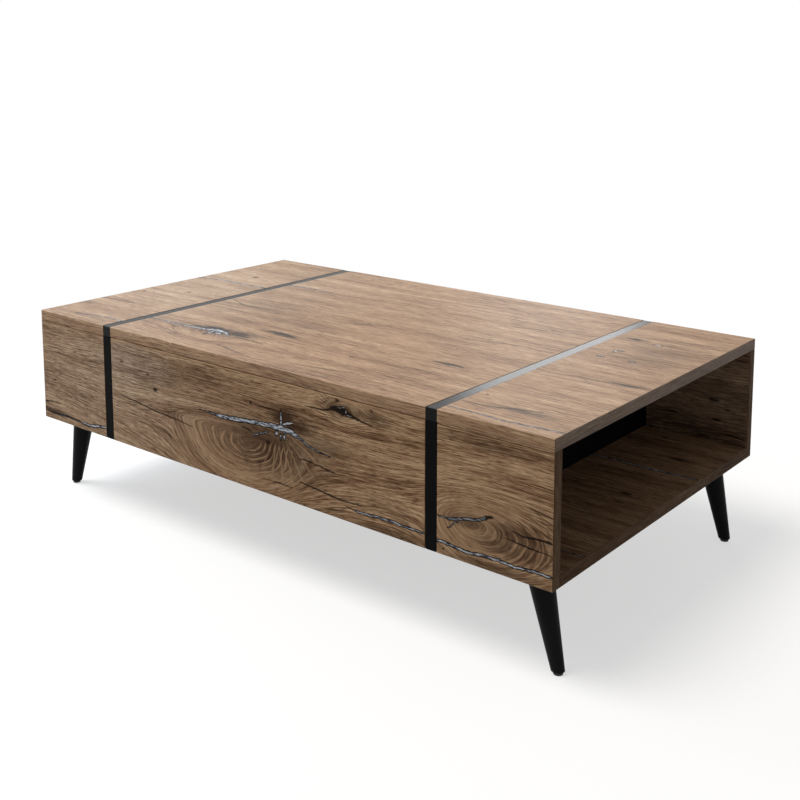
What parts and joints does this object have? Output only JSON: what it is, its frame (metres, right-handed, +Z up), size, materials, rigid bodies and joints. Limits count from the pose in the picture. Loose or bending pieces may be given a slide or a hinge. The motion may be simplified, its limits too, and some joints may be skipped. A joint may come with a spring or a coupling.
{
  "type": "coffee table",
  "caption": "Low rectangular coffee table with push-open drawers in the long sides, open end shelves, black inlaid bands and splayed tapered legs.",
  "frame": {"origin": "centre of the footprint, on the floor", "axes": "+X along the table's length, the front drawer faces -Y, +Z up"},
  "size_m": [1.15, 0.657, 0.356],
  "materials": {
    "oak_decor": "matt old-oak decor with filled cracks",
    "black_board": "matt black laminate",
    "black_band": "satin black",
    "black_stile": "satin black laminate",
    "black_leg": "satin black lacquer",
    "zinc_steel": "zinc plated",
    "runner_steel": "dark powder coat",
    "roller_plastic": "natural nylon",
    "latch_plastic": "grey moulded plastic",
    "glide_plastic": "black moulded plastic",
    "dowel_wood": "plain beech",
    "drawer_board": "graphite foil",
    "drawer_bottom_board": "graphite foil"
  },
  "bodies": {
    "carcass": {"top_panel": "oak_decor", "bottom_panel": "oak_decor", "front_left_panel": "oak_decor", "front_right_panel": "oak_decor", "rear_left_panel": "oak_decor", "rear_right_panel": "oak_decor", "left_divider": "black_board", "right_divider": "black_board", "center_partition": "black_board", "left_top_band": "black_band", "right_top_band": "black_band", "front_left_stile": "black_stile", "front_right_stile": "black_stile", "rear_left_stile": "black_stile", "rear_right_stile": "black_stile", "legs": "black_leg", "leg_brackets": "zinc_steel", "leg_bolts": "zinc_steel", "bracket_screws": "zinc_steel", "bottom_screws": "zinc_steel", "cabinet_rail_screws": "zinc_steel", "latch_screws": "zinc_steel", "cabinet_axles": "zinc_steel", "front_left_cabinet_rail": "runner_steel", "front_right_cabinet_rail": "runner_steel", "rear_left_cabinet_rail": "runner_steel", "rear_right_cabinet_rail": "runner_steel", "front_latch_housing": "latch_plastic", "rear_latch_housing": "latch_plastic", "foot_glides": "glide_plastic", "carcass_dowels": "dowel_wood"},
    "front_drawer": {"front_drawer_front": "oak_decor", "front_drawer_axles": "zinc_steel", "front_drawer_rail_screws": "zinc_steel", "front_drawer_left_rail": "runner_steel", "front_drawer_right_rail": "runner_steel", "front_drawer_left_side": "drawer_board", "front_drawer_right_side": "drawer_board", "front_drawer_back": "drawer_board", "front_drawer_bottom": "drawer_bottom_board"},
    "front_cabinet_rollers": {"front_cabinet_rollers": "roller_plastic"},
    "front_drawer_rollers": {"front_drawer_rollers": "roller_plastic"},
    "front_plunger": {"front_latch_plunger": "latch_plastic"},
    "rear_drawer": {"rear_drawer_front": "oak_decor", "rear_drawer_axles": "zinc_steel", "rear_drawer_rail_screws": "zinc_steel", "rear_drawer_left_rail": "runner_steel", "rear_drawer_right_rail": "runner_steel", "rear_drawer_left_side": "drawer_board", "rear_drawer_right_side": "drawer_board", "rear_drawer_back": "drawer_board", "rear_drawer_bottom": "drawer_bottom_board"},
    "rear_cabinet_rollers": {"rear_cabinet_rollers": "roller_plastic"},
    "rear_drawer_rollers": {"rear_drawer_rollers": "roller_plastic"},
    "rear_plunger": {"rear_latch_plunger": "latch_plastic"}
  },
  "joints": [
    {"name": "front_drawer_slide", "type": "slide", "parent": "carcass", "child": "front_drawer", "axis": [0, -1, 0], "range_m": [-0.0025, 0.18]},
    {"name": "front_cabinet_roller_spin", "type": "hinge", "parent": "carcass", "child": "front_cabinet_rollers", "pos_m": [0, -0.296, 0.196], "axis": [1, 0, 0], "continuous": true},
    {"name": "front_drawer_roller_spin", "type": "hinge", "parent": "front_drawer", "child": "front_drawer_rollers", "pos_m": [0, -0.0725, 0.192], "axis": [1, 0, 0], "continuous": true},
    {"name": "front_plunger_push", "type": "slide", "parent": "carcass", "child": "front_plunger", "axis": [0, 1, 0], "range_m": [0, 0.0025], "stiffness_N_per_m": 300},
    {"name": "rear_drawer_slide", "type": "slide", "parent": "carcass", "child": "rear_drawer", "axis": [0, 1, 0], "range_m": [-0.0025, 0.18]},
    {"name": "rear_cabinet_roller_spin", "type": "hinge", "parent": "carcass", "child": "rear_cabinet_rollers", "pos_m": [0, 0.296, 0.196], "axis": [1, 0, 0], "continuous": true},
    {"name": "rear_drawer_roller_spin", "type": "hinge", "parent": "rear_drawer", "child": "rear_drawer_rollers", "pos_m": [0, 0.0725, 0.192], "axis": [1, 0, 0], "continuous": true},
    {"name": "rear_plunger_push", "type": "slide", "parent": "carcass", "child": "rear_plunger", "axis": [0, -1, 0], "range_m": [0, 0.0025], "stiffness_N_per_m": 300}
  ],
  "couplings": [
    {"joint": "front_cabinet_roller_spin", "follows": "front_drawer_slide", "rad_per_m": 105.26},
    {"joint": "front_drawer_roller_spin", "follows": "front_drawer_slide", "rad_per_m": 105.26},
    {"joint": "rear_cabinet_roller_spin", "follows": "rear_drawer_slide", "rad_per_m": -105.26},
    {"joint": "rear_drawer_roller_spin", "follows": "rear_drawer_slide", "rad_per_m": -105.26}
  ]
}
